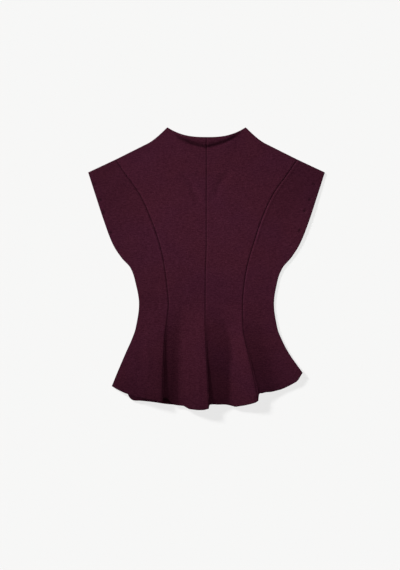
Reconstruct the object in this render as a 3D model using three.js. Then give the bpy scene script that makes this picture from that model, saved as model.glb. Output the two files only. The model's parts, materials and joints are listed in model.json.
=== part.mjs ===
// A peplum top in thick crepe knit, laid flat on its back with its neck towards +Y.
// Millimetres, +Z up. The origin is under the middle of the outline, on the surface that the top lies on.
// Left and right are those of someone who looks down at the front.
import * as THREE from 'three';

// Cloth
const cloth = 1.6; // wall of one layer
const turnedEdge = 2.4; // wall where the hem allowance is turned up inside
const turnUp = 20; // width of the turned hem
const turnUpEase = 5; // the wall starts to thicken this far above the turned hem
const turnUpSettle = 1; // and has its full thickness this far inside it
const seamGap = 0.3; // between two pieces that are sewn together
const seamSlack = 0.05; // extra on each side, because a seam's wall leans
const layerGap = 0.3; // between the front and the back where they lie on each other
const clothColour = 0x3a1824;

// Garment
const neckHalf = 94; // middle to the neck's peak, where the shoulder seam meets the neck edge
const neckPeakY = 338.5;
const neckDip = 24; // the middle of the neck edge lies this far below its peaks
const shoulderSlope = 0.5;
const neckFlickWidth = 46; // the shoulder line sweeps up into the standing neck over this width
const neckPower = 2.7; // how square the neck's curve is
const flickPower = 1.6;
const yokeShare = 0.35; // the shoulder's shape fades out over this share of a centre panel
const capHalf = 284; // middle to the tip of a cap sleeve
const capY = 230;
const shoulderSeamX = 218; // where the princess seam meets the shoulder seam
const shoulderSeamY = 261;
const waistY = -86;
const waistShare = 0.6; // share of each seam's length that lies above the waist
const centreLength = 640; // neck edge to hem, along the cloth
const peplumLength = 232; // waist to hem, along the cloth
const peakShare = 1 - neckHalf / shoulderSeamX; // where the neck's peak lies across a centre panel

// Soft height of the front over the back
const bodyLoft = 2.2;
const loftPower = 1.2;
const sideFlatness = 6; // the bust's height keeps up towards the side, then falls by this power
const shoulderFade = 0.1; // share of the length over which the front rises from the shoulder seam
const waistFlattening = { from: 0.42, to: 0.66, by: 0.75 }; // shares of the length, and of the height lost
const bustLoft = 1.4;
const bustX = 88;
const bustY = 95;
const bustRadius = 75;
const cuffLift = 1.4; // the front edge of each cap sleeve stands a little off the back one
const cuffStart = 0.75; // share of the way from the middle to the side
const armholeShare = 0.42; // share of the side's length that is armhole edge
const neckLift = 6; // the front edge of the neck stands up
const neckCreaseDepth = 3; // soft crease where the standing neck bends
const neckCreaseWidth = 5;
const neckCreaseBelow = 21; // distance from the neck edge to the crease, in the middle
const neckCreaseInset = 2; // the same at the neck's peaks
const neckCreaseOverlap = 1; // the standing edge reaches this far past the crease
const standingPower = 0.8; // how straight the standing edge is
const neckFade = 0.45; // share of the neck's half width over which its lift grows from each peak

// Seams and edges, one row for each level, from the shoulder to the hem: x where each line crosses the level
const frontLines = [
  { y: shoulderSeamY, princessLeft: -shoulderSeamX, centre: 0, princessRight: shoulderSeamX },
  { y: capY, sideLeft: -capHalf, princessLeft: -197, centre: 0, princessRight: 197, sideRight: capHalf },
  { y: 174, sideLeft: -266, princessLeft: -158, centre: 0, princessRight: 158, sideRight: 266 },
  { y: 116, sideLeft: -247, princessLeft: -132, centre: 0, princessRight: 132, sideRight: 247 },
  { y: 58, sideLeft: -225, princessLeft: -112, centre: 0, princessRight: 113, sideRight: 224 },
  { y: 25, sideLeft: -204, princessLeft: -104, centre: -1, princessRight: 103, sideRight: 203 },
  { y: 0, sideLeft: -182, princessLeft: -100, centre: -2, princessRight: 97, sideRight: 182 },
  { y: -28, sideLeft: -172, princessLeft: -96, centre: -2, princessRight: 92, sideRight: 171 },
  { y: waistY, sideLeft: -162, princessLeft: -91, centre: -2, princessRight: 87, sideRight: 162 },
  { y: -143, sideLeft: -170, princessLeft: -97, centre: -2, princessRight: 88, sideRight: 170 },
  { y: -172, sideLeft: -180, princessLeft: -99, centre: -1, princessRight: 93, sideRight: 181 },
  { y: -201, sideLeft: -193, princessLeft: -100, centre: 1, princessRight: 100, sideRight: 196 },
  { y: -250, sideLeft: -214, princessLeft: -101, centre: 5, princessRight: 112, sideRight: 230 },
  { y: -282, sideLeft: -227, princessLeft: -102, centre: 7, princessRight: 120 },
  { y: -335, princessLeft: -103, centre: 8, princessRight: 129 },
];
const backLines = [
  { y: shoulderSeamY, princessLeft: -shoulderSeamX, centre: 0, princessRight: shoulderSeamX },
  { y: capY, princessLeft: -196, centre: 0, princessRight: 196 },
  { y: 174, princessLeft: -158, centre: 0, princessRight: 158 },
  { y: 116, princessLeft: -131, centre: 0, princessRight: 131 },
  { y: 0, princessLeft: -99, centre: 0, princessRight: 99 },
  { y: waistY, princessLeft: -89, centre: 0, princessRight: 89 },
  { y: -172, princessLeft: -98, centre: 0, princessRight: 96 },
  { y: -335, princessLeft: -123, centre: 0, princessRight: 109 },
];

// Where each line starts and ends
const lineEnds = {
  front: {
    sideLeft: { top: capY, hem: -283 },
    princessLeft: { top: shoulderSeamY, hem: -319 },
    centre: { top: neckPeakY - neckDip, hem: -336 },
    princessRight: { top: shoulderSeamY, hem: -317 },
    sideRight: { top: capY, hem: -251 },
  },
  back: {
    sideLeft: { top: capY, hem: -283 },
    princessLeft: { top: shoulderSeamY, hem: -322 },
    centre: { top: neckPeakY - neckDip, hem: -321 },
    princessRight: { top: shoulderSeamY, hem: -304 },
    sideRight: { top: capY, hem: -251 },
  },
};

// Folds of the peplum, one row for each ridge, valley and turn. across is the share of the panel's width from
// its left seam. hip pulls the cloth up halfway down the peplum, hem is its height at the hem, and drop is how
// far the hem edge lies below the straight line between the panel's lower corners.
const frontFolds = {
  sideLeft: [
    { across: 0, hip: 0, hem: 0, drop: 0 },
    { across: 0.12, hip: 1, hem: 3, drop: 4 },
    { across: 0.3, hip: 2.6, hem: 6.5, drop: 6 },
    { across: 0.5, hip: 1.6, hem: 5.5, drop: 9 },
    { across: 0.62, hip: 2, hem: 7, drop: 9 },
    { across: 0.8, hip: 5, hem: 12.5, drop: 6.5 },
    { across: 0.93, hip: 6.5, hem: 15.5, drop: 3 },
    { across: 1, hip: 6.5, hem: 15.5, drop: 0 },
  ],
  centreLeft: [
    { across: 0, hip: 6.5, hem: 15.5, drop: 0 },
    { across: 0.03, hip: 4, hem: 9, drop: -8 },
    { across: 0.08, hip: 1.2, hem: 3, drop: -11 },
    { across: 0.13, hip: 0.3, hem: 1.5, drop: -5 },
    { across: 0.22, hip: 0.6, hem: 3, drop: 4 },
    { across: 0.4, hip: 3.4, hem: 11, drop: 3 },
    { across: peakShare, hip: 6, hem: 17.5, drop: 8.5 },
    { across: 0.72, hip: 8, hem: 20.5, drop: 8 },
    { across: 0.87, hip: 9, hem: 21, drop: 5.5 },
    { across: 1, hip: 8.5, hem: 20, drop: 0 },
  ],
  centreRight: [
    { across: 0, hip: 8.5, hem: 20, drop: 0 },
    { across: 0.03, hip: 6, hem: 14, drop: -9 },
    { across: 0.08, hip: 4.4, hem: 8.5, drop: -8.5 },
    { across: 0.18, hip: 3, hem: 5, drop: -6 },
    { across: 0.33, hip: 1.6, hem: 2.8, drop: -3 },
    { across: 1 - peakShare, hip: 0.6, hem: 2, drop: 1 },
    { across: 0.56, hip: 1.4, hem: 7, drop: 6.5 },
    { across: 0.68, hip: 3, hem: 12, drop: 6.5 },
    { across: 0.82, hip: 5, hem: 16, drop: 5.5 },
    { across: 0.94, hip: 6.2, hem: 18, drop: 3.5 },
    { across: 1, hip: 6, hem: 17.5, drop: 0 },
  ],
  sideRight: [
    { across: 0, hip: 6, hem: 17.5, drop: 0 },
    { across: 0.03, hip: 4, hem: 12.5, drop: -15 },
    { across: 0.09, hip: 2.2, hem: 7.5, drop: -12 },
    { across: 0.18, hip: 1.2, hem: 4.5, drop: -8 },
    { across: 0.32, hip: 0.6, hem: 3.5, drop: 0 },
    { across: 0.5, hip: 0.6, hem: 6, drop: 8 },
    { across: 0.68, hip: 1.2, hem: 9, drop: 11 },
    { across: 0.86, hip: 1.6, hem: 9.5, drop: 12 },
    { across: 1, hip: 1.5, hem: 7, drop: 0 },
  ],
};
const backFolds = {
  sideLeft: [
    { across: 0, hip: 0, hem: 0, drop: 0 },
    { across: 0.33, hip: 0, hem: 0.5, drop: 1 },
    { across: 0.39, hip: 0.2, hem: 1, drop: 11 },
    { across: 0.46, hip: 0.6, hem: 2, drop: 15 },
    { across: 0.66, hip: 1.5, hem: 5, drop: 9 },
    { across: 0.84, hip: 0.5, hem: 2, drop: 4 },
    { across: 1, hip: 0, hem: 0, drop: 0 },
  ],
  centreLeft: [
    { across: 0, hip: 0, hem: 0, drop: 0 },
    { across: 0.18, hip: 0, hem: 0, drop: 3.5 },
    { across: 0.36, hip: 0, hem: 0.5, drop: 5.5 },
    { across: 0.6, hip: 1.5, hem: 5.5, drop: 6.5 },
    { across: 0.8, hip: 2, hem: 7, drop: 5.5 },
    { across: 1, hip: 1, hem: 4, drop: 0 },
  ],
  centreRight: [
    { across: 0, hip: 1, hem: 4, drop: 0 },
    { across: 0.18, hip: 0, hem: 0.8, drop: 2 },
    { across: 0.34, hip: 0, hem: 0, drop: 4 },
    { across: 0.55, hip: 0, hem: 0, drop: 5 },
    { across: 0.75, hip: 0.8, hem: 3, drop: 4.5 },
    { across: 0.9, hip: 1.2, hem: 5.5, drop: 3 },
    { across: 1, hip: 1, hem: 4.5, drop: 0 },
  ],
  sideRight: [
    { across: 0, hip: 1, hem: 4.5, drop: 0 },
    { across: 0.12, hip: 0.3, hem: 1, drop: -2 },
    { across: 0.3, hip: 0, hem: 0, drop: 2 },
    { across: 0.56, hip: 0, hem: 0.5, drop: 9 },
    { across: 0.8, hip: 0.7, hem: 3.5, drop: 7 },
    { across: 1, hip: 1.5, hem: 7, drop: 0 },
  ],
};
// Share of a panel's width by which its front folds drift to the right, going up
const foldLean = { sideLeft: 0, centreLeft: 0.1, centreRight: 0.3, sideRight: 0 };

const lineOrder = ['sideLeft', 'princessLeft', 'centre', 'princessRight', 'sideRight'];
const panelOrder = ['sideLeft', 'centreLeft', 'centreRight', 'sideRight'];

const mix = (a, b, t) => a + (b - a) * t;
const clamp01 = (t) => Math.min(1, Math.max(0, t));
const ease = (from, to, x) => {
  const t = clamp01((x - from) / (to - from));
  return t * t * (3 - 2 * t);
};

// Smooth curve through the rows of a table that never overshoots them: value as a function of key
function curveThrough(table, key, value) {
  const rows = table.filter((row) => value in row).sort((a, b) => a[key] - b[key]);
  const k = rows.map((row) => row[key]);
  const v = rows.map((row) => row[value]);
  const last = k.length - 1;
  const step = k.slice(1).map((_, i) => (v[i + 1] - v[i]) / (k[i + 1] - k[i]));
  const slope = v.map((_, i) => {
    if (i === 0) return step[0];
    if (i === last) return step[last - 1];
    const same = step[i - 1] * step[i] > 0;
    return same ? (2 * step[i - 1] * step[i]) / (step[i - 1] + step[i]) : 0;
  });
  return (x) => {
    if (x <= k[0]) return v[0];
    if (x >= k[last]) return v[last];
    const i = k.findIndex((_, n) => x < k[n + 1]);
    const width = k[i + 1] - k[i];
    const t = (x - k[i]) / width;
    const rise = slope[i] * (t - 2 * t ** 2 + t ** 3) + slope[i + 1] * (t ** 3 - t ** 2);
    return mix(v[i], v[i + 1], t * t * (3 - 2 * t)) + width * rise;
  };
}

// One layer of the top: its seam lines and folds as functions
function makeLayer(lines, ends, folds) {
  const layer = { ends, lines: {}, folds: {} };
  for (const name of lineOrder) {
    const table = lines.some((row) => name in row) ? lines : frontLines;
    layer.lines[name] = curveThrough(table, 'y', name);
  }
  for (const name of panelOrder) {
    layer.folds[name] = {
      table: folds[name],
      hip: curveThrough(folds[name], 'across', 'hip'),
      hem: curveThrough(folds[name], 'across', 'hem'),
      drop: curveThrough(folds[name], 'across', 'drop'),
    };
  }
  return layer;
}
const front = makeLayer(frontLines, lineEnds.front, frontFolds);
const back = makeLayer(backLines, lineEnds.back, backFolds);

const peplumShare = (down) => clamp01((down - waistShare) / (1 - waistShare));

// A point of a seam line; down runs from 0 at its top to 1 at the hem, and is waistShare at the waist
function linePoint(layer, name, down) {
  const { top, hem } = layer.ends[name];
  const y = down < waistShare ? mix(top, waistY, down / waistShare) : mix(waistY, hem, peplumShare(down));
  return { x: layer.lines[name](y), y };
}

// Upper outline between the two princess seams: shoulder, standing neck and neck edge
function upperEdge(x) {
  const far = Math.abs(x);
  if (far <= neckHalf) return neckPeakY - neckDip + neckDip * (far / neckHalf) ** neckPower;
  const flick = clamp01((neckHalf + neckFlickWidth - far) / neckFlickWidth) ** flickPower;
  const straightPeakY = shoulderSeamY + (shoulderSeamX - neckHalf) * shoulderSlope;
  return shoulderSeamY + (shoulderSeamX - far) * shoulderSlope + flick * (neckPeakY - straightPeakY);
}

// Plan position across a panel (0 to 1 from its left seam) and down it
function planPoint(layer, panel, across, down) {
  const n = panelOrder.indexOf(panel);
  const a = linePoint(layer, lineOrder[n], down);
  const b = linePoint(layer, lineOrder[n + 1], down);
  const x = mix(a.x, b.x, across);
  let y = mix(a.y, b.y, across);
  if (panel.startsWith('centre')) {
    const topA = linePoint(layer, lineOrder[n], 0);
    const topB = linePoint(layer, lineOrder[n + 1], 0);
    const bulge = upperEdge(mix(topA.x, topB.x, across)) - mix(topA.y, topB.y, across);
    y += bulge * clamp01(1 - down / yokeShare) ** 2;
  }
  return { x, y: y - layer.folds[panel].drop(across) * peplumShare(down) ** 3 };
}

// Height of a fold above the flat layer
function foldHeight(layer, panel, across, down) {
  const s = peplumShare(down);
  const t = across - foldLean[panel] * (1 - s) * 4 * across * (1 - across) * (layer === front ? 1 : 0);
  const { hip, hem } = layer.folds[panel];
  return 2 * s * (1 - s) * hip(t) + s * s * hem(t);
}

// Wall thickness: it grows softly over the turned hem
function thickness(down) {
  const fromHem = ((1 - down) / (1 - waistShare)) * peplumLength;
  return mix(cloth, turnedEdge, ease(turnUp + turnUpEase, turnUp - turnUpSettle, fromHem));
}

// Height of the front's outer face over the surface
function frontHeight(panel, across, down, x, y) {
  const n = panelOrder.indexOf(panel);
  const fromMiddle = Math.abs(n + across - 2) / 2;
  const topX = mix(linePoint(front, lineOrder[n], 0).x, linePoint(front, lineOrder[n + 1], 0).x, across);
  const neckShare = clamp01(1 - Math.abs(topX) / neckHalf);
  const open = ease(0, neckFade, neckShare);
  const sewn = mix(ease(0, shoulderFade, down), 1, open);
  const along = 1 - waistFlattening.by * ease(waistFlattening.from, waistFlattening.to, down);
  const bust = Math.exp(-((Math.abs(x) - bustX) ** 2 + (y - bustY) ** 2) / bustRadius ** 2);
  const body = bodyLoft * (1 - fromMiddle ** 2) ** loftPower;
  const loft = (body + bustLoft * bust * (1 - fromMiddle ** sideFlatness)) * sewn * along;
  const belowEdge = down * centreLength;
  const crease = neckCreaseBelow * neckShare + neckCreaseInset;
  const standing = neckLift * open * clamp01(1 - belowEdge / (crease + neckCreaseOverlap)) ** standingPower;
  const dip = neckCreaseDepth * open * Math.exp(-(((belowEdge - crease) / neckCreaseWidth) ** 2));
  const alongArmhole = clamp01(down / armholeShare);
  const cuff = cuffLift * ease(cuffStart, 1, fromMiddle) * Math.sin(Math.PI * alongArmhole) ** 2;
  const lying = thickness(down) * 2 + layerGap;
  return lying + Math.max(0, loft + standing - dip) + cuff + foldHeight(front, panel, across, down);
}

function surfacePoint(layer, panel, across, down) {
  const { x, y } = planPoint(layer, panel, across, down);
  if (layer === back) return new THREE.Vector3(x, y, foldHeight(back, panel, across, down));
  return new THREE.Vector3(x, y, frontHeight(panel, across, down, x, y));
}

// Rows are closer at the standing neck and at the hem
const steps = (from, to, count) => Array.from({ length: count }, (_, i) => mix(from, to, i / count));
const hemBandTop = 1 - ((turnUp + turnUpEase) / peplumLength) * (1 - waistShare);
const neckBand = 0.06; // share of the length that holds the standing neck
const hemRows = 3;
const levels = {
  front: [
    ...steps(0, neckBand, 12),
    ...steps(neckBand, waistShare, 13),
    ...steps(waistShare, hemBandTop, 11),
    ...steps(hemBandTop, 1, hemRows),
    1,
  ],
  back: [
    ...steps(0, waistShare, 11),
    ...steps(waistShare, hemBandTop, 8),
    ...steps(hemBandTop, 1, hemRows),
    1,
  ],
};
const widestColumn = 0.135; // share of a panel's width

// Columns follow the fold table, with one more wherever its rows are far apart
function columnsOf(table) {
  const shares = table.map((row) => row.across);
  return shares.flatMap((share, i) => {
    const isWide = shares[i + 1] - share > widestColumn;
    return isWide ? [share, mix(share, shares[i + 1], 0.5)] : [share];
  });
}

// All points of one layer's outer face, with one normal on each seam for the panels on both sides
function layerGrid(layer, downs) {
  const columns = panelOrder.flatMap((panel, n) => {
    const shares = columnsOf(layer.folds[panel].table);
    return shares.slice(n === 0 ? 0 : 1).map((across) => ({ panel, across }));
  });
  const points = downs.map((down) => (
    columns.map(({ panel, across }) => surfacePoint(layer, panel, across, down))));
  const normals = downs.map((_, i) => columns.map((__, j) => {
    const right = points[i][Math.min(j + 1, columns.length - 1)].clone().sub(points[i][Math.max(j - 1, 0)]);
    const up = points[Math.max(i - 1, 0)][j].clone().sub(points[Math.min(i + 1, downs.length - 1)][j]);
    return right.cross(up).normalize();
  }));
  return { points, normals, columns };
}

// Moves the first and last point of each row of a panel half a seam gap into the panel
function openSeams(row) {
  const shift = (from, to) => from.clone().add(to.clone().sub(from).setLength(seamGap / 2 + seamSlack));
  const last = row.length - 1;
  const moved = row.map((p) => p.clone());
  moved[0] = shift(row[0], row[1]);
  moved[last] = shift(row[last], row[last - 1]);
  return moved;
}

// Closed wall between an outer and an inner grid of points
function wallGeometry(outer, inner) {
  const rows = outer.length;
  const cols = outer[0].length;
  const corners = [...outer.flat(), ...inner.flat()];
  const out = (i, j) => i * cols + j;
  const inn = (i, j) => rows * cols + i * cols + j;
  const faces = [];
  const quad = (a, b, c, d) => faces.push(a, b, c, a, c, d);
  for (let i = 0; i < rows - 1; i += 1) {
    for (let j = 0; j < cols - 1; j += 1) {
      quad(out(i, j), out(i + 1, j), out(i + 1, j + 1), out(i, j + 1));
      quad(inn(i, j), inn(i, j + 1), inn(i + 1, j + 1), inn(i + 1, j));
    }
    quad(out(i, 0), inn(i, 0), inn(i + 1, 0), out(i + 1, 0));
    quad(out(i, cols - 1), out(i + 1, cols - 1), inn(i + 1, cols - 1), inn(i, cols - 1));
  }
  for (let j = 0; j < cols - 1; j += 1) {
    quad(out(0, j), out(0, j + 1), inn(0, j + 1), inn(0, j));
    quad(out(rows - 1, j), inn(rows - 1, j), inn(rows - 1, j + 1), out(rows - 1, j + 1));
  }
  const geometry = new THREE.BufferGeometry();
  const places = corners.flatMap((p) => [p.x, p.y, p.z]);
  geometry.setAttribute('position', new THREE.Float32BufferAttribute(places, 3));
  geometry.setIndex(faces);
  geometry.computeVertexNormals();
  return geometry;
}

// The wall grows down from the front's outer face, and up from the back's, which rests on the surface
function panelGeometry(layer, grid, downs, panel) {
  const n = panelOrder.indexOf(panel);
  const first = grid.columns.findIndex((c) => c.panel === panel) - (n === 0 ? 0 : 1);
  const last = grid.columns.findLastIndex((c) => c.panel === panel);
  const outward = layer === front ? -1 : 1;
  const outer = grid.points.map((row) => openSeams(row.slice(first, last + 1)));
  const inner = grid.points.map((row, i) => openSeams(row.slice(first, last + 1).map((p, j) => (
    p.clone().addScaledVector(grid.normals[i][first + j], outward * thickness(downs[i]))))));
  return layer === front ? wallGeometry(outer, inner) : wallGeometry(inner, outer);
}

const knit = () => new THREE.MeshStandardMaterial({ color: clothColour, roughness: 0.9, metalness: 0 });

function addLayer(group, layer, downs, names) {
  const grid = layerGrid(layer, downs);
  for (const panel of panelOrder) {
    const mesh = new THREE.Mesh(panelGeometry(layer, grid, downs, panel), knit());
    mesh.name = names[panel];
    group.add(mesh);
  }
}

const top = new THREE.Group();
addLayer(top, front, levels.front, {
  sideLeft: 'side_front_left',
  centreLeft: 'centre_front_left',
  centreRight: 'centre_front_right',
  sideRight: 'side_front_right',
});
addLayer(top, back, levels.back, {
  sideLeft: 'side_back_left',
  centreLeft: 'centre_back_left',
  centreRight: 'centre_back_right',
  sideRight: 'side_back_right',
});

export default top;
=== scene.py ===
import bpy
import json
import numpy as np
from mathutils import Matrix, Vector

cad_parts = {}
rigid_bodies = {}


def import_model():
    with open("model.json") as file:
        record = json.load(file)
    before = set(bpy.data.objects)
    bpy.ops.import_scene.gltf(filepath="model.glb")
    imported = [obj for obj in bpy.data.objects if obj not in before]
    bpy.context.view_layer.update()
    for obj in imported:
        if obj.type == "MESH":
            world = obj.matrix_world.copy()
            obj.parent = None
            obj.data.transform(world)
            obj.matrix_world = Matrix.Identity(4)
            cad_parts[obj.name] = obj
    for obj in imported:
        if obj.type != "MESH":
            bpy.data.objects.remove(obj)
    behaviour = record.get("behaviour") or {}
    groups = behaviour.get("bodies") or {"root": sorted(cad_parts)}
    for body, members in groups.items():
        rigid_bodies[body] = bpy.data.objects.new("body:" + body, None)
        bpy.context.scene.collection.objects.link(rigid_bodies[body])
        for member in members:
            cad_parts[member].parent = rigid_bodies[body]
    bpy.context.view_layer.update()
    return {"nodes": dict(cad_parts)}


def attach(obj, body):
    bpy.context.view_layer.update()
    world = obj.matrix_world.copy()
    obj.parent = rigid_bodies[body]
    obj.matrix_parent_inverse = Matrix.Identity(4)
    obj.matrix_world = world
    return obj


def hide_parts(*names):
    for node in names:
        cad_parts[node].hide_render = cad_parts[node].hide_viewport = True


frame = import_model()
print("frame loaded, panels in the CAD:", len(frame["nodes"]))

mm = 0.001

# The whole top, in metres. Left and right are those of someone who looks down at the front.
top = {
    "wall": 1.6 * mm,  # one layer of the knit
    "hemWall": 2.4 * mm,  # at the turned-up hem
    "hemDepth": 20 * mm,
    "hemStep": 1.5 * mm,  # the wall thickens over twice this height
    "layerGap": 0.3 * mm,
    "neckHalf": 94 * mm,
    "neckPeakY": 338.5 * mm,
    "neckDip": 24 * mm,
    "neckPower": 2.7,  # how square the neck edge is
    "shoulderSlope": 0.5,
    "neckFlick": 46 * mm,  # width over which the shoulder line sweeps up into the neck
    "flickPower": 1.6,
    "yokeShare": 0.35,  # the shoulder's shape fades out over this share of a centre panel's length
    "capY": 230 * mm,
    "shoulderSeamX": 218 * mm,
    "shoulderSeamY": 261 * mm,
    "waistY": -86 * mm,
    "waistShare": 0.6,  # share of each seam's length above the waist
    "peplumLength": 232 * mm,
    "crestRounding": 0.004,  # share of a panel's width over which a fold's crest is rounded
}

# Where each seam or edge crosses a level: (y, x) in mm, from the top down
frontLines = {
    "sideLeft": [(230, -284), (174, -266), (116, -247), (58, -225), (25, -204), (0, -182), (-28, -172),
                 (-86, -162), (-143, -170), (-172, -180), (-201, -193), (-250, -214), (-282, -227)],
    "princessLeft": [(261, -218), (230, -197), (174, -158), (116, -132), (58, -112), (25, -104), (0, -100),
                     (-28, -96), (-86, -91), (-143, -97), (-172, -100), (-201, -101.5), (-250, -103.5),
                     (-282, -104.5), (-335, -105.5)],
    "centre": [(315, 0), (58, 0), (25, -1), (0, -2), (-143, -3), (-172, -2), (-201, -1), (-250, 1.5),
               (-282, 3), (-335, 5.5)],
    "princessRight": [(261, 218), (230, 197), (174, 158), (116, 132), (58, 113), (25, 103), (0, 97),
                      (-28, 92), (-86, 87), (-143, 88), (-172, 93), (-201, 99.5), (-250, 111),
                      (-282, 118), (-335, 127)],
    "sideRight": [(230, 284), (174, 266), (116, 247), (58, 224), (25, 203), (0, 182), (-28, 171),
                  (-86, 162), (-143, 170), (-172, 181), (-201, 196), (-250, 230)],
}
backLines = {
    **frontLines,
    "princessLeft": [(261, -218), (230, -196), (174, -158), (116, -131), (0, -99), (-86, -89),
                     (-172, -98), (-335, -123)],
    "centre": [(315, 0), (0, 0), (-335, 0)],
    "princessRight": [(261, 218), (230, 196), (174, 158), (116, 131), (0, 99), (-86, 89), (-172, 96),
                      (-335, 109)],
}
frontHem = {"sideLeft": -283, "princessLeft": -319, "centre": -336, "princessRight": -317, "sideRight": -251}
backHem = {"sideLeft": -283, "princessLeft": -322, "centre": -321, "princessRight": -304, "sideRight": -251}

# Folds of the peplum, left to right across each panel: share of its width, pull halfway down in mm,
# height at the hem in mm, and how far the hem dips there in mm
frontFolds = {
    "sideLeft": [(0, 0, 0, 0), (0.12, 1.6, 3.4, 4), (0.3, 4, 7, 7), (0.5, 7, 10, 6), (0.62, 8.6, 11.8, 5),
                 (0.8, 10.4, 13.8, 3), (0.93, 10.9, 14.4, 1), (1, 10.5, 14, 0)],
    "centreLeft": [(0, 10.5, 14, 0), (0.015, 9, 12.1, -7), (0.03, 7.7, 10.4, -9), (0.08, 6.1, 8.3, -11),
                   (0.16, 4.4, 6.1, -4), (0.27, 1.9, 3, 4), (0.35, 0.8, 1.5, 4), (0.44, 1.9, 2.8, 3.5),
                   (0.58, 5.1, 6.8, 8.5), (0.72, 8.3, 11, 8), (0.87, 11.9, 14.8, 5.5), (1, 13.9, 17, 0)],
    "centreRight": [(0, 13.9, 17, 0), (0.015, 12.3, 15.1, -7.5), (0.03, 11.1, 13.6, -9),
                    (0.08, 9.4, 11.5, -8.5), (0.18, 6.7, 8.2, -6), (0.33, 2.9, 3.8, -3),
                    (0.43, 0.9, 1.7, 1), (0.56, 2.8, 4, 6.5), (0.68, 5, 7.1, 6.5),
                    (0.82, 7.8, 11, 5.5), (0.94, 10, 13.7, 3.5), (1, 10.4, 14.3, 0)],
    "sideRight": [(0, 10.4, 14.3, 0), (0.015, 9.2, 12.8, -12), (0.03, 8.6, 11.9, -15), (0.09, 7.5, 10.3, -12),
                  (0.18, 6, 8.2, -8), (0.3, 4.2, 5.5, -1), (0.42, 2.7, 3.3, 4), (0.55, 1.6, 2.1, 8.5),
                  (0.7, 0.9, 2.6, 11), (0.86, 0.7, 4, 12), (1, 0.8, 4.9, 0)],
}
backFolds = {
    "sideLeft": [(0, 0, 0, 0), (0.33, 0, 0.5, 1), (0.39, 0.2, 1, 11), (0.46, 0.6, 2, 15),
                 (0.66, 1.5, 5, 9), (0.84, 0.5, 2, 4), (1, 0, 0, 0)],
    "centreLeft": [(0, 0, 0, 0), (0.18, 0, 0, 3.5), (0.36, 0, 0.3, 5.5), (0.48, 0.3, 1.3, 6),
                   (0.6, 1.1, 3.8, 6.5), (0.8, 2, 7, 5.5), (1, 1, 4, 0)],
    "centreRight": [(0, 1, 4, 0), (0.18, 0, 0.8, 2), (0.34, 0, 0, 4), (0.55, 0, 0, 5),
                    (0.75, 0.8, 3, 4.5), (0.9, 1.2, 5.5, 3), (1, 1, 4.5, 0)],
    "sideRight": [(0, 1, 4.5, 0), (0.12, 0.3, 1, -2), (0.3, 0, 0, 2), (0.56, 0, 0.4, 9),
                  (0.8, 0.3, 2.2, 7), (1, 0.6, 4.4, 0)],
}
# Path of a panel's valley: share down the peplum, share across the panel
valleyPaths = {
    "centreRight": [(0, 0.12), (0.08, 0.34), (0.2, 0.55), (0.42, 0.62), (0.67, 0.51), (1, 0.43)],
}

panelSides = {
    "sideLeft": ("sideLeft", "princessLeft"),
    "centreLeft": ("princessLeft", "centre"),
    "centreRight": ("centre", "princessRight"),
    "sideRight": ("princessRight", "sideRight"),
}
panelOrder = list(panelSides)


def smoothCurve(xs, ys):
    # Cubic curve through the points; the slope at each is the harmonic mean of its two chords, so that
    # it never overshoots
    order = np.argsort(xs)
    xs, ys = np.asarray(xs, float)[order], np.asarray(ys, float)[order]
    chord = np.diff(ys) / np.diff(xs)
    before, after = chord[:-1], chord[1:]
    both = np.where(before * after > 0, before + after, 1)
    inner = np.where(before * after > 0, 2 * before * after / both, 0)
    slope = np.concatenate([chord[:1], inner, chord[-1:]])

    def value(x):
        x = np.clip(x, xs[0], xs[-1])
        i = np.clip(np.searchsorted(xs, x, side="right") - 1, 0, len(xs) - 2)
        width = xs[i + 1] - xs[i]
        t = (x - xs[i]) / width
        rise = slope[i] * (t - 2 * t**2 + t**3) + slope[i + 1] * (t**3 - t**2)
        return ys[i] + (ys[i + 1] - ys[i]) * t * t * (3 - 2 * t) + width * rise

    return value


def ease(low, high, x):
    # 0 before low, 1 past high, and a smooth step of power 3 between them
    t = np.clip((x - low) / (high - low), 0, 1)
    return t * t * (3 - 2 * t)


def bell(away, width):
    # e to the power of minus the square of the distance over the width
    return np.exp(-((away / width) ** 2))


def makeLayer(lines, hems, folds, valleys):
    # Each table becomes smooth curves in metres: x over y for a line, and heights over the share across
    layer = {"lines": {}, "ends": {}, "folds": {}}
    for name, points in lines.items():
        ys, xs = np.array(points).T * mm
        layer["lines"][name] = smoothCurve(ys, xs)
        start = {"centre": top["neckPeakY"] - top["neckDip"],
                 "sideLeft": top["capY"], "sideRight": top["capY"]}
        layer["ends"][name] = (start.get(name, top["shoulderSeamY"]), hems[name] * mm)
    for panel, rows in folds.items():
        across, hip, hem, dip = np.array(rows, float).T
        layer["folds"][panel] = {
            "hip": smoothCurve(across, hip * mm),
            "hem": smoothCurve(across, hem * mm),
            "dip": smoothCurve(across, dip * mm),
            "valley": smoothCurve(*np.array(valleys[panel]).T) if panel in valleys else None,
        }
    return layer


front = makeLayer(frontLines, frontHem, frontFolds, valleyPaths)
back = makeLayer(backLines, backHem, backFolds, {})


def downPeplum(down):
    # 0 down to the waist, then in proportion to 1 at the hem
    return np.clip((down - top["waistShare"]) / (1 - top["waistShare"]), 0, 1)


def seamPoint(layer, name, down):
    # Straight in y from the top of the line to the waist and on to the hem; x from the line's curve
    start, hem = layer["ends"][name]
    waist = top["waistY"]
    y = np.where(down < top["waistShare"], start + (waist - start) * down / top["waistShare"],
                 waist + (hem - waist) * downPeplum(down))
    return layer["lines"][name](y), y


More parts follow.
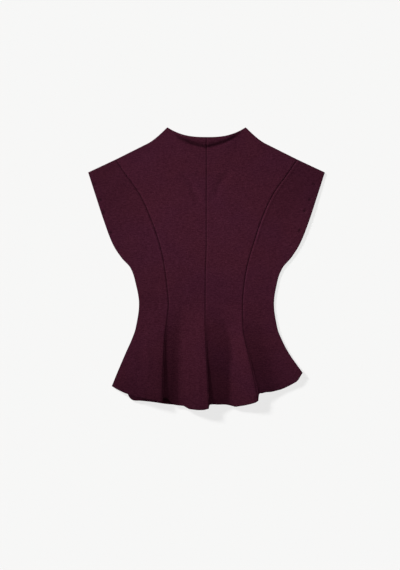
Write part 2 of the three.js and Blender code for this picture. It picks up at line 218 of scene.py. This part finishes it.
def upperEdge(x):
    # Neck edge: a power curve between its peaks. Shoulder: a straight slope, plus a power curve that
    # flicks up at the neck
    far = np.abs(x)
    neck = top["neckPeakY"] - top["neckDip"] * (1 - (far / top["neckHalf"]) ** top["neckPower"])
    flick = np.clip((top["neckHalf"] + top["neckFlick"] - far) / top["neckFlick"], 0, 1) ** top["flickPower"]
    line = top["shoulderSeamY"] + (top["shoulderSeamX"] - far) * top["shoulderSlope"]
    peak = top["shoulderSeamY"] + (top["shoulderSeamX"] - top["neckHalf"]) * top["shoulderSlope"]
    return np.where(far <= top["neckHalf"], neck, line + flick * (top["neckPeakY"] - peak))


def planPoint(layer, panel, across, down):
    # Straight between the panel's two seams, bent at the top to the shoulder and neck, and dipped at the hem
    left, right = panelSides[panel]
    ax, ay = seamPoint(layer, left, down)
    bx, by = seamPoint(layer, right, down)
    x = ax + (bx - ax) * across
    y = ay + (by - ay) * across
    if panel.startswith("centre"):
        (tax, tay), (tbx, tby) = seamPoint(layer, left, 0.0), seamPoint(layer, right, 0.0)
        bulge = upperEdge(tax + (tbx - tax) * across) - (tay + (tby - tay) * across)
        y = y + bulge * np.clip(1 - down / top["yokeShare"], 0, 1) ** 2
    return x, y - layer["folds"][panel]["dip"](across) * downPeplum(down) ** 3


def foldHeight(layer, panel, across, down):
    # A parabola down the peplum, pulled to hip halfway and reaching hem at the edge; the crest is rounded
    fold, s, rounding = layer["folds"][panel], downPeplum(down), top["crestRounding"]
    t = (np.sqrt(across**2 + rounding**2) - rounding) / (np.sqrt(1 + rounding**2) - rounding)
    if fold["valley"] is not None:
        rest, path = float(fold["valley"](1.0)), fold["valley"](s)
        t = np.where(t < path, t * rest / path, rest + (t - path) * (1 - rest) / (1 - path))
    return 2 * s * (1 - s) * fold["hip"](t) + s * s * fold["hem"](t)


# The front climbs onto the thicker hem: most of it softly, the rest beside the turned edge
hemClimb = {"softShare": 0.75, "soft": (62 * mm, 16 * mm), "sharp": (22 * mm, 18 * mm)}


def aboveHem(down):
    # Length of cloth from there down to the hem: the share that is left, at the peplum's scale
    return (1 - down) / (1 - top["waistShare"]) * top["peplumLength"]


def wallAt(down):
    # One layer, and a smooth step up to the turned hem
    folded = ease(top["hemDepth"] + top["hemStep"], top["hemDepth"] - top["hemStep"], aboveHem(down))
    return top["wall"] + (top["hemWall"] - top["wall"]) * folded


def lieAt(down):
    # The outer face climbs onto the thicker hem by two smooth steps, more softly than the wall itself
    climb = hemClimb
    rise = (climb["softShare"] * ease(*climb["soft"], aboveHem(down))
            + (1 - climb["softShare"]) * ease(*climb["sharp"], aboveHem(down)))
    return top["wall"] + (top["hemWall"] - top["wall"]) * rise


# Creases, given in mm: start, end, depth (less than 0 for a ridge), half width, and how far the
# middle bows
frontCreases = [
    {"start": (-60, 232), "end": (-14, 158), "depth": 1.7, "width": 9, "bow": 3},
    {"start": (58, 236), "end": (12, 160), "depth": 1.1, "width": 9, "bow": -3},
    {"start": (-50, 226), "end": (-24, 227), "depth": -0.7, "width": 2.6, "bow": 0.5},
    {"start": (18, 229), "end": (44, 228), "depth": -0.7, "width": 2.6, "bow": 0.5},
    {"start": (-158, -170), "end": (-163, -272), "depth": 0.9, "width": 7, "bow": 2},
    {"start": (-148, -160), "end": (-139, -262), "depth": -0.6, "width": 6, "bow": 3},
]
backCreases = [
    {"start": (-150, 60), "end": (-60, 20), "depth": 0.35, "width": 9, "bow": 6},
    {"start": (60, 25), "end": (140, 70), "depth": 0.35, "width": 9, "bow": -5},
    {"start": (-70, -60), "end": (-20, -84), "depth": 0.3, "width": 7, "bow": -3},
    {"start": (18, -80), "end": (74, -58), "depth": 0.3, "width": 7, "bow": -3},
]
creaseFade = 0.7  # below 1, a crease keeps its depth longer towards its ends
# Where the turned armhole edge is caught to the cloth, in mm
tacks = {
    "places": [(-268, 202), (-253, 164), (-245, 133), (-228, 85),
               (258, 202), (248, 164), (236, 137), (224, 90)],
    "depth": 1.4,
    "radius": 3.6,
}


def creaseDepth(creases, x, y):
    # Each crease is a bell across its bowed line, and fades towards both ends as a power of a half sine
    total = np.zeros_like(x)
    for crease in creases:
        (x0, y0), (x1, y1) = np.array(crease["start"]) * mm, np.array(crease["end"]) * mm
        length = np.hypot(x1 - x0, y1 - y0)
        along = ((x - x0) * (x1 - x0) + (y - y0) * (y1 - y0)) / length**2
        aside = ((y - y0) * (x1 - x0) - (x - x0) * (y1 - y0)) / length
        inside = np.clip(along, 0, 1)
        aside = aside - crease["bow"] * mm * 4 * inside * (1 - inside)
        fade = np.sin(np.pi * inside) ** creaseFade
        total += crease["depth"] * mm * bell(aside, crease["width"] * mm) * fade
    return total


def tackBell(x, y, radius):
    # A round bell at each tack
    places = np.array(tacks["places"]) * mm
    near = (x[..., None] - places[:, 0]) ** 2 + (y[..., None] - places[:, 1]) ** 2
    return np.exp(-near / (radius * mm) ** 2).sum(axis=-1)


# How high the front lies over the back. Shares run from 0 at a panel's top to 1 at its hem, or from 0 in
# the middle of the top to 1 at its side
frontLie = {
    "loft": 1.8 * mm,
    "loftPower": 1.2,
    "shoulderFade": 0.1,  # share of the length over which the front rises from the shoulder seam
    "flattenFrom": 0.42,  # between these two shares of the length the waist flattens
    "flattenTo": 0.66,
    "flattenBy": 0.75,
    "bust": 1 * mm,
    "bustPlace": (88 * mm, 95 * mm),
    "bustRadius": 75 * mm,
    "sideFlatness": 6,
    "cuff": 1.2 * mm,  # the front edge of each cap sleeve stands a little off the back one
    "cuffStart": 0.75,
    "armholeShare": 0.42,
    "neckLift": 4.4 * mm,
    "neckLean": 0.32,  # how much higher the standing edge is on the left
    "neckFade": 0.45,  # share of the neck's half width over which it opens from each peak
    "standingPower": 4,
    "standingRoom": 1 * mm,  # the standing edge reaches this far past the crease
    "neckCrease": 0.8 * mm,
    "neckCreaseWidth": 5 * mm,
    "neckCreaseBelow": 21 * mm,
    "neckCreaseInset": 2 * mm,
    "panelLength": 0.64,  # neck edge to hem along the cloth, in metres
    "sink": 0.2 * mm,  # no crease presses the front deeper than this
}


def neckPlace(panel, across, down):
    # How open the neck is there, the way down from its edge, and how far below that the crease runs
    lie = frontLie
    left, right = panelSides[panel]
    topLeft, topRight = seamPoint(front, left, 0.0)[0], seamPoint(front, right, 0.0)[0]
    neckShare = np.clip(1 - np.abs(topLeft + (topRight - topLeft) * across) / top["neckHalf"], 0, 1)
    crease = lie["neckCreaseBelow"] * neckShare + lie["neckCreaseInset"]
    return ease(0, lie["neckFade"], neckShare), down * lie["panelLength"], crease


def frontHeight(panel, across, down, x, y):
    # Two walls and a gap, plus loft, bust, standing neck, cuff and folds, less the creases
    lie = frontLie
    fromMiddle = np.abs(panelOrder.index(panel) + across - 2) / 2
    isOpen, belowEdge, crease = neckPlace(panel, across, down)
    sewn = ease(0, lie["shoulderFade"], down) * (1 - isOpen) + isOpen
    along = 1 - lie["flattenBy"] * ease(lie["flattenFrom"], lie["flattenTo"], down)
    bustX, bustY = lie["bustPlace"]
    bust = np.exp(-((np.abs(x) - bustX) ** 2 + (y - bustY) ** 2) / lie["bustRadius"] ** 2)
    dome = lie["loft"] * np.clip(1 - fromMiddle**2, 0, 1) ** lie["loftPower"]
    loft = (dome + lie["bust"] * bust * (1 - fromMiddle ** lie["sideFlatness"])) * sewn * along
    lift = lie["neckLift"] * (1 - lie["neckLean"] * np.clip(x / top["neckHalf"] * 2, -1, 1))
    upTo = np.clip(belowEdge / (crease + lie["standingRoom"]), 0, 1)
    standing = lift * isOpen * (1 - upTo ** lie["standingPower"])
    dip = lie["neckCrease"] * isOpen * bell(belowEdge - crease, lie["neckCreaseWidth"])
    armhole = np.sin(np.pi * np.clip(down / lie["armholeShare"], 0, 1)) ** 2
    cuff = lie["cuff"] * ease(lie["cuffStart"], 1, fromMiddle) * armhole
    flat = 2 * lieAt(down) + top["layerGap"]
    tacked = tacks["depth"] * mm * tackBell(x, y, tacks["radius"])
    soft = loft + standing + cuff - dip - creaseDepth(frontCreases, x, y) - tacked
    return flat + np.maximum(-lie["sink"], soft) + foldHeight(front, panel, across, down)


def backHeight(panel, across, down, x, y):
    # Its wall and folds; its soft ridges, like those that lying leaves, lift it by a third of a millimetre
    return wallAt(down) + foldHeight(back, panel, across, down) + creaseDepth(backCreases, x, y)


# Fineness of the shells: columns of a side and of a centre panel, and rows, between the rounded edges
shellGrid = {
    "front": ({"side": 92, "cent": 124}, 240),
    "back": ({"side": 56, "cent": 56}, 130),
    "rim": 4,
    "rowLength": 0.6,  # metres of cloth from the top row to the hem, for the rims
    "crowding": 0.1,  # how much closer together the columns are beside the seams
    "lean": 1.5 * mm,  # beside a seam, both panels' normals come together over this width
}


def rimDistances(radius):
    # Distances from an edge at equal angles of a quarter circle, and the share of the wall left at each
    angle = np.linspace(0, np.pi / 2, shellGrid["rim"] + 1)
    return radius * (1 - np.cos(angle)), np.sin(angle)


def panelGrid(layer, panel, columns, rows):
    # Outer face of one panel as rows of points, and how much of the wall each point keeps near the edges.
    # Rows and columns are evenly spaced, save the rims' and those that a sine crowds towards the seams
    distance, keep = rimDistances(top["wall"] / 2)
    topDistance = distance / shellGrid["rowLength"]
    hemDistance = rimDistances(top["hemWall"] / 2 / shellGrid["rowLength"])[0]
    inner = np.linspace(topDistance[-1], 1 - hemDistance[-1], rows)[1:-1]
    down = np.concatenate([topDistance, inner, 1 - hemDistance[::-1]])
    keepDown = np.concatenate([keep, np.ones(len(inner)), keep[::-1]])
    left, right = panelSides[panel]
    width = seamPoint(layer, right, down)[0] - seamPoint(layer, left, down)[0]
    share = distance[None, :] / width[:, None]
    crowd = np.linspace(0, 1, columns)
    crowd = crowd - shellGrid["crowding"] * np.sin(2 * np.pi * crowd)
    middle = share[:, -1:] + (1 - 2 * share[:, -1:]) * crowd[None, 1:-1]
    across = np.concatenate([share, middle, 1 - share[:, ::-1]], axis=1)
    keepAcross = np.concatenate([keep, np.ones(columns - 2), keep[::-1]])
    down = np.repeat(down[:, None], across.shape[1], axis=1)
    x, y = planPoint(layer, panel, across, down)
    height = frontHeight if layer is front else backHeight
    outer = np.stack([x, y, height(panel, across, down, x, y)], axis=-1)
    return {"points": outer, "keep": keepDown[:, None] * keepAcross[None, :], "down": down, "across": across}


def gridNormals(points):
    # Cross product of the steps along a row and up a column
    alongRow = np.gradient(points, axis=1)
    upColumn = -np.gradient(points, axis=0)
    return unit(np.cross(alongRow, upColumn))


def unit(vectors):
    # Each vector over its own length
    return vectors / np.linalg.norm(vectors, axis=-1, keepdims=True)


def layerGrids(layer, columns, rows):
    # The four panels of a layer; beside a seam both panels lean towards their mean normal, so that
    # their rims meet
    grids = {panel: panelGrid(layer, panel, columns[panel[:4]], rows) for panel in panelOrder}
    for grid in grids.values():
        points = grid["points"]
        grid["normal"] = gridNormals(points)
        step = np.linalg.norm(np.diff(points, axis=1), axis=-1)
        grid["fromLeft"] = np.concatenate([np.zeros((len(step), 1)), np.cumsum(step, axis=1)], axis=1)
        grid["fromRight"] = grid["fromLeft"][:, -1:] - grid["fromLeft"]
    for leftPanel, rightPanel in zip(panelOrder[:-1], panelOrder[1:]):
        left, right = grids[leftPanel], grids[rightPanel]
        shared = unit(left["normal"][:, -1:] + right["normal"][:, :1])
        for grid, away in ((left, left["fromRight"]), (right, right["fromLeft"])):
            pull = bell(away, shellGrid["lean"])[..., None]
            grid["normal"] = unit(grid["normal"] * (1 - pull) + shared * pull)
    return grids


# Seams: the stitched line sinks in, and the allowances raise the side panel beside it, in mm
seamLook = {
    "princess": 0.6,
    "centre": 0.45,
    "width": 2,
    "pinchLimit": 0.6,  # share of half the back's wall that a groove may take
    "ridge": 0.35,
    "ridgeAway": 4.8,
    "ridgeWidth": 3,
    "ridgeEnds": (0.46, 0.3),  # shares of the length between which it fades towards the bust
}
# Painted shade, from 0 to 1, with widths in mm: how far the knit's colour is darkened in the stitched lines,
# the neck's crease and at the tacks, where shade falls, and over the side panels
paintedShadeLook = {
    "seam": 0.4,
    "seamWidth": 1.3,
    "crease": 0.34,
    "creaseAbove": 0.5,
    "creaseWidth": 3,
    "creaseLean": 0.6,  # how much darker the painted shade in the crease is on the left
    "tack": 0.5,
    "tackWidth": 3.2,
    "nap": 0.02,  # painted shade over each side panel
    "capShade": 0.15,  # and more painted shade, which grows towards the caps
    "capEnds": (0.36, 0.06),  # shares of the length between which that grows
}


def seamRelief(layer, panel, grid):
    # Groove: a bell over the distance to each seam. Ridge: a bell beside the princess seam, fading
    # towards the bust
    look = seamLook
    depth = {"sideLeft": (0, look["princess"]), "centreLeft": (look["princess"], look["centre"]),
             "centreRight": (look["centre"], look["princess"]), "sideRight": (look["princess"], 0)}[panel]
    fromLeft, fromRight, down = grid["fromLeft"], grid["fromRight"], grid["down"]
    groove = depth[0] * bell(fromLeft, look["width"] * mm) + depth[1] * bell(fromRight, look["width"] * mm)
    ridge = np.zeros_like(down)
    if panel.startswith("side"):
        away = fromRight if panel == "sideLeft" else fromLeft
        ridge = bell(away - look["ridgeAway"] * mm, look["ridgeWidth"] * mm)
        ridge = ridge * ease(*look["ridgeEnds"], down) * look["ridge"]
    return groove[..., None] * mm, ridge[..., None] * mm


def shadeOf(layer, panel, grid):
    # Painted shade: bells over the distance to the stitched lines and, on the front, to the neck's crease
    # and the tacks; a flat share on the side panels that grows towards the caps
    look, fromLeft, fromRight = paintedShadeLook, grid["fromLeft"], grid["fromRight"]
    paintedShade = np.zeros_like(fromLeft)
    # Painted shade along the stitched seams
    if panel != "sideLeft":
        paintedShade += look["seam"] * bell(fromLeft, look["seamWidth"] * mm)
    if panel != "sideRight":
        paintedShade += look["seam"] * bell(fromRight, look["seamWidth"] * mm)
    # Painted shade along the neck's crease, darker on the left
    if layer is front and panel.startswith("centre"):
        isOpen, belowEdge, crease = neckPlace(panel, grid["across"], grid["down"])
        dark = bell(belowEdge - crease + look["creaseAbove"] * mm, look["creaseWidth"] * mm)
        side = 1 - look["creaseLean"] * np.clip(grid["points"][..., 0] / top["neckHalf"] * 2, -1, 1)
        paintedShade += look["crease"] * isOpen * dark * side
    # Painted shade over the side panels, growing towards the caps
    if panel.startswith("side"):
        paintedShade += look["nap"] + look["capShade"] * ease(*look["capEnds"], grid["down"])
    # Painted shade at the tacks
    if layer is front:
        x, y = grid["points"][..., 0], grid["points"][..., 1]
        paintedShade += look["tack"] * tackBell(x, y, look["tackWidth"])
    return np.clip(paintedShade, 0, 1)


def wallFaces(ids, turned):
    # Quads between neighbouring points. The quad in each corner of the panel is split from that corner
    # inwards, or both walls could share a triangle there
    a, b, c, d = ids[:-1, :-1], ids[1:, :-1], ids[1:, 1:], ids[:-1, 1:]
    quads = np.stack((a, d, c, b) if turned else (a, b, c, d), axis=-1)
    whole = np.ones(quads.shape[:2], bool)
    triangles = []
    for first, corner in enumerate([(0, 0), (-1, 0), (-1, -1), (0, -1)]):
        quad = np.roll(quads[corner], first if turned else -first)
        triangles += [quad[[0, 1, 2]], quad[[0, 2, 3]]]
        whole[corner] = False
    return quads[whole], np.array(triangles)


def shellWalls(layer, panel, grid):
    # The outer face and the same points moved inwards along the normal; the two meet at the rim
    keep, normal = grid["keep"][..., None], grid["normal"]
    groove, ridge = seamRelief(layer, panel, grid)
    half = wallAt(grid["down"])[..., None] / 2
    sunk, pinched, raised = groove, 0, ridge
    if layer is back:
        # The back lies flat, so its seams are thinner instead of sunk
        sunk, pinched, raised = 0, np.minimum(groove, seamLook["pinchLimit"] * half), 0
    middle = grid["points"] - normal * (half + sunk)
    upper = middle + normal * ((half - pinched) * keep + raised)
    lower = middle - normal * (half - pinched) * keep
    return upper, lower


def clothPlace(grid):
    # Place on the cloth in metres: across is the length along the row from the panel's middle, down is y
    outer, fromLeft = grid["points"], grid["fromLeft"]
    middle = outer.shape[1] // 2
    across = outer[:, middle, 0][:, None] + fromLeft - fromLeft[:, middle][:, None]
    return np.stack([across, outer[..., 1]], axis=-1)


def makeMesh(name, points, quads, triangles, cloth, paintedShade):
    # Quads come first, then triangles; each face starts where the one before it ends
    corners = np.concatenate([quads.ravel(), triangles.ravel()]).astype(np.int32)
    starts = np.concatenate([np.arange(0, quads.size, 4), np.arange(quads.size, corners.size, 3)])
    mesh = bpy.data.meshes.new(name)
    mesh.vertices.add(len(points))
    mesh.vertices.foreach_set("co", points.astype(np.float32).ravel())
    mesh.loops.add(len(corners))
    mesh.loops.foreach_set("vertex_index", corners)
    mesh.polygons.add(len(starts))
    mesh.polygons.foreach_set("loop_start", starts.astype(np.int32))
    mesh.update(calc_edges=True)
    mesh.validate()
    mesh.polygons.foreach_set("use_smooth", np.ones(len(mesh.polygons), bool))
    uvLayer = mesh.uv_layers.new(name="cloth")
    uvLayer.data.foreach_set("uv", cloth[corners].astype(np.float32).ravel())
    # The painted shade, kept on the points for the material
    paintedShadeLayer = mesh.attributes.new("paintedShade", "FLOAT", "POINT")
    paintedShadeLayer.data.foreach_set("value", paintedShade.astype(np.float32))
    return mesh


def buildShell(name, layer, panel, grid, node):
    # Both walls as one closed mesh: all points of the upper one, then those of the lower one off the rim
    upper, lower = shellWalls(layer, panel, grid)
    shape = upper.shape[:2]
    inside = np.zeros(shape, bool)
    inside[1:-1, 1:-1] = True
    upperId = np.arange(inside.size).reshape(shape)
    lowerId = upperId.copy()
    lowerId[inside] = inside.size + np.arange(inside.sum())
    both = zip(wallFaces(upperId, False), wallFaces(lowerId, True))
    quads, triangles = (np.concatenate(found) for found in both)
    points = np.concatenate([upper.reshape(-1, 3), lower[inside]])
    # Place on the cloth, and the painted shade
    cloth, paintedShade = clothPlace(grid), shadeOf(layer, panel, grid)
    mesh = makeMesh(name, points, quads, triangles,
                    np.concatenate([cloth.reshape(-1, 2), cloth[inside]]),
                    np.concatenate([paintedShade.ravel(), paintedShade[inside]]))
    piece = bpy.data.objects.new(name, mesh)
    bpy.context.collection.objects.link(piece)
    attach(piece, "root")
    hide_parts(node)
    return piece


# The knit: a matte crepe in dark burgundy, with short streaks that lie across the panels
crepeKnit = {
    "deep": (0.0225, 0.0026, 0.0080, 1),
    "mid": (0.0373, 0.0064, 0.0141, 1),
    "bright": (0.0540, 0.0110, 0.0216, 1),
    "purple": (0.95, 0.96, 1.07, 1),  # the cloth turns a little cooler in wide soft patches
    "paintedShadeColour": (0.0060, 0.0008, 0.0024, 1),  # painted shade, in stitched lines, the neck's crease, at the tacks and on the side panels
    # Each pattern: how many in a metre, across and down, then detail, roughness and distortion
    "streak": ((120, 360), 3, 0.6, 0.3),
    "cloud": ((24, 50), 2, 0.5, 0),
    "grain": ((360, 470), 2, 0.6, 0.4),
    "patch": ((7, 9), 2, 0.5, 0),
    "cloudShare": 0.16,  # of the streaks and the clouds
    "grainShare": 0.47,  # of the tone
    "toneRange": (0.36, 0.5, 0.64),  # tones at which the knit is deep, mid and bright
    "patchRange": (0.4, 0.62),
    "roughness": 0.92,
    "specular": 0.04,
    "sheen": 0.04,
    "sheenRoughness": 0.6,
    "sheenTint": (0.5, 0.1, 0.22, 1),
    "bump": 0.35,
    "bumpDepth": 0.6 * mm,
}


def clothNoise(tree, cloth, pattern):
    # Noise over the cloth's place, stretched to the number wanted in a metre
    (across, down), detail, roughness, distortion = pattern
    place = tree.nodes.new("ShaderNodeMapping")
    place.inputs["Scale"].default_value = (across, down, 1)
    noise = tree.nodes.new("ShaderNodeTexNoise")
    noise.inputs["Scale"].default_value = 1
    noise.inputs["Detail"].default_value = detail
    noise.inputs["Roughness"].default_value = roughness
    noise.inputs["Distortion"].default_value = distortion
    tree.links.new(cloth.outputs["UV"], place.inputs["Vector"])
    tree.links.new(place.outputs["Vector"], noise.inputs["Vector"])
    return noise.outputs["Fac"]


def mixNumbers(tree, factor, a, b):
    # a and b, with b's share given by a fixed factor
    node = tree.nodes.new("ShaderNodeMix")
    node.data_type = "FLOAT"
    node.inputs["Factor"].default_value = factor
    tree.links.new(a, node.inputs["A"])
    tree.links.new(b, node.inputs["B"])
    return node.outputs["Result"]


def mixColours(tree, factor, a, colour, blend="MIX"):
    # a and a fixed colour, with the colour's share given by another node
    node = tree.nodes.new("ShaderNodeMix")
    node.data_type = "RGBA"
    node.blend_type = blend
    node.inputs["B"].default_value = colour
    tree.links.new(factor, node.inputs["Factor"])
    tree.links.new(a, node.inputs["A"])
    return node.outputs["Result"]


def makeCrepeKnit():
    look = crepeKnit
    material = bpy.data.materials.new("crepeKnit")
    material.use_nodes = True
    tree = material.node_tree
    tree.nodes.clear()
    output = tree.nodes.new("ShaderNodeOutputMaterial")
    shader = tree.nodes.new("ShaderNodeBsdfPrincipled")
    shader.inputs["Roughness"].default_value = look["roughness"]
    shader.inputs["Specular IOR Level"].default_value = look["specular"]
    shader.inputs["Sheen Weight"].default_value = look["sheen"]
    shader.inputs["Sheen Roughness"].default_value = look["sheenRoughness"]
    shader.inputs["Sheen Tint"].default_value = look["sheenTint"]
    cloth = tree.nodes.new("ShaderNodeUVMap")
    cloth.uv_map = "cloth"

    # Tone: streaks and clouds, with the knit's fine grain over them
    streak = clothNoise(tree, cloth, look["streak"])
    cloud = clothNoise(tree, cloth, look["cloud"])
    grain = clothNoise(tree, cloth, look["grain"])
    tone = mixNumbers(tree, look["grainShare"], mixNumbers(tree, look["cloudShare"], streak, cloud), grain)
    ramp = tree.nodes.new("ShaderNodeValToRGB")
    deep, bright = ramp.color_ramp.elements
    deep.position, middle, bright.position = look["toneRange"]
    deep.color, bright.color = look["deep"], look["bright"]
    ramp.color_ramp.elements.new(middle).color = look["mid"]
    tree.links.new(tone, ramp.inputs["Fac"])

    # Cooler patches, then the painted shade in stitched lines, the neck's crease, at the tacks and on the
    # side panels
    patch = tree.nodes.new("ShaderNodeMapRange")
    patch.inputs["From Min"].default_value, patch.inputs["From Max"].default_value = look["patchRange"]
    tree.links.new(clothNoise(tree, cloth, look["patch"]), patch.inputs["Value"])
    tinted = mixColours(tree, patch.outputs["Result"], ramp.outputs["Color"], look["purple"], "MULTIPLY")
    # The knit's colour is darkened towards a painted shade where the attribute says
    paintedShade = tree.nodes.new("ShaderNodeAttribute")
    paintedShade.attribute_name = "paintedShade"
    paintedShadeColour = mixColours(tree, paintedShade.outputs["Fac"], tinted, look["paintedShadeColour"])
    tree.links.new(paintedShadeColour, shader.inputs["Base Color"])

    bump = tree.nodes.new("ShaderNodeBump")
    bump.inputs["Strength"].default_value = look["bump"]
    bump.inputs["Distance"].default_value = look["bumpDepth"]
    tree.links.new(mixNumbers(tree, 0.5, streak, grain), bump.inputs["Height"])
    tree.links.new(bump.outputs["Normal"], shader.inputs["Normal"])
    tree.links.new(shader.outputs["BSDF"], output.inputs["Surface"])
    return material


knit = makeCrepeKnit()
nodeNames = {"sideLeft": "side_{}_left", "centreLeft": "centre_{}_left", "centreRight": "centre_{}_right",
             "sideRight": "side_{}_right"}

for layerName, layer in (("back", back), ("front", front)):
    grids = layerGrids(layer, *shellGrid[layerName])
    for panel in panelOrder:
        node = nodeNames[panel].format(layerName)
        piece = buildShell(f"{layerName}_{panel}", layer, panel, grids[panel], node)
        piece.data.materials.append(knit)

# A plain pale floor
floorLook = {"size": 6, "paint": (0.8, 0.8, 0.795, 1), "below": 0.2 * mm}


def makeFloor():
    half, level = floorLook["size"] / 2, -floorLook["below"]
    mesh = bpy.data.meshes.new("floor")
    corners = [(-half, -half, level), (half, -half, level), (half, half, level), (-half, half, level)]
    mesh.from_pydata(corners, [], [(0, 1, 2, 3)])
    floor = bpy.data.objects.new("floor", mesh)
    bpy.context.collection.objects.link(floor)
    material = bpy.data.materials.new("paleFloor")
    material.use_nodes = True
    tree = material.node_tree
    shader = tree.nodes["Principled BSDF"]
    shader.inputs["Base Color"].default_value = floorLook["paint"]
    shader.inputs["Roughness"].default_value = 1
    shader.inputs["Specular IOR Level"].default_value = 0
    floor.data.materials.append(material)


makeFloor()

# Three lights for the cloth: a spot from the left aimed at the chest, a low panel beyond the neck and a
# weak one beyond the hem. The floor has two suns of its own, one of them without shadows, so that the
# shadow on it stays faint
studio = {"keyFrom": (-0.72, 0.17, 0.31), "keyAim": (0.045, 0.045, 0), "keyAway": 12, "key": 19000,
          "keySize": 0.4, "keySpread": 0.47,
          "neckPanel": 24, "neckPanelAt": (0, 1.5, 0.6), "neckPanelSize": (1.4, 0.4),
          "hemPanel": 6, "hemPanelAt": (-0.2, -1.6, 0.5), "hemPanelSize": (1, 0.3),
          "sun": 1.3, "sunFrom": (-0.5, 0.45, 0.31), "sunAngle": 0.16, "fill": 3.09,
          "sky": 0.005, "backdrop": 0.9}


def addLight(name, kind, energy, seenBy, place, way):
    light = bpy.data.objects.new(name, bpy.data.lights.new(name, kind))
    light.data.energy = energy
    light.location = place
    light.rotation_euler = Vector(way).to_track_quat("Z", "Y").to_euler()
    light.light_linking.receiver_collection = seenBy
    bpy.context.collection.objects.link(light)
    return light


def lightStudio():
    cloth = bpy.data.collections.new("litCloth")
    ground = bpy.data.collections.new("litGround")
    for piece in bpy.data.objects:
        if piece.name.startswith(("front_", "back_")):
            cloth.objects.link(piece)
    ground.objects.link(bpy.data.objects["floor"])
    way = Vector(studio["keyFrom"]).normalized()
    place = Vector(studio["keyAim"]) + way * studio["keyAway"]
    key = addLight("key", "SPOT", studio["key"], cloth, place, way)
    key.data.shadow_soft_size = studio["keySize"]
    key.data.spot_size = 2 * np.arctan(studio["keySpread"] / studio["keyAway"])
    key.data.spot_blend = 1
    for name in ("neckPanel", "hemPanel"):
        panelAt = studio[name + "At"]
        panel = addLight(name, "AREA", studio[name], cloth, panelAt, panelAt)
        panel.data.shape = "RECTANGLE"
        panel.data.size, panel.data.size_y = studio[name + "Size"]
    sun = addLight("sun", "SUN", studio["sun"], ground, (0, 0, 3), studio["sunFrom"])
    sun.data.angle = studio["sunAngle"]
    fill = addLight("fill", "SUN", studio["fill"], ground, (0, 0, 3), (0, 0, 1))
    fill.data.use_shadow = False


def makeSky():
    # The camera sees a pale backdrop, and the cloth only a faint sky
    world = bpy.data.worlds.new("sky")
    world.use_nodes = True
    tree = world.node_tree
    sky = tree.nodes["Background"]
    sky.inputs["Color"].default_value = (1, 1, 1, 1)
    sky.inputs["Strength"].default_value = studio["sky"]
    backdrop = tree.nodes.new("ShaderNodeBackground")
    backdrop.inputs["Color"].default_value = (1, 1, 1, 1)
    backdrop.inputs["Strength"].default_value = studio["backdrop"]
    ray = tree.nodes.new("ShaderNodeLightPath")
    seen = tree.nodes.new("ShaderNodeMixShader")
    tree.links.new(ray.outputs["Is Camera Ray"], seen.inputs["Fac"])
    tree.links.new(sky.outputs["Background"], seen.inputs[1])
    tree.links.new(backdrop.outputs["Background"], seen.inputs[2])
    tree.links.new(seen.outputs["Shader"], tree.nodes["World Output"].inputs["Surface"])
    bpy.context.scene.world = world
    bpy.context.scene.view_settings.view_transform = "Standard"


lightStudio()
makeSky()

# The photograph is taken from straight above: 1368 mm from its upper to its lower edge
view = {"lens": 140, "down": 1.368, "centre": (-0.0156, -0.0401)}


def placeCamera():
    # As high as makes the view's length fill the frame: length times lens over sensor
    data = bpy.data.cameras.new("camera")
    data.lens = view["lens"]
    camera = bpy.data.objects.new("camera", data)
    bpy.context.collection.objects.link(camera)
    camera.location = (*view["centre"], view["down"] * view["lens"] / data.sensor_width)
    bpy.context.scene.camera = camera


placeCamera()
print("camera, lights and floor placed")
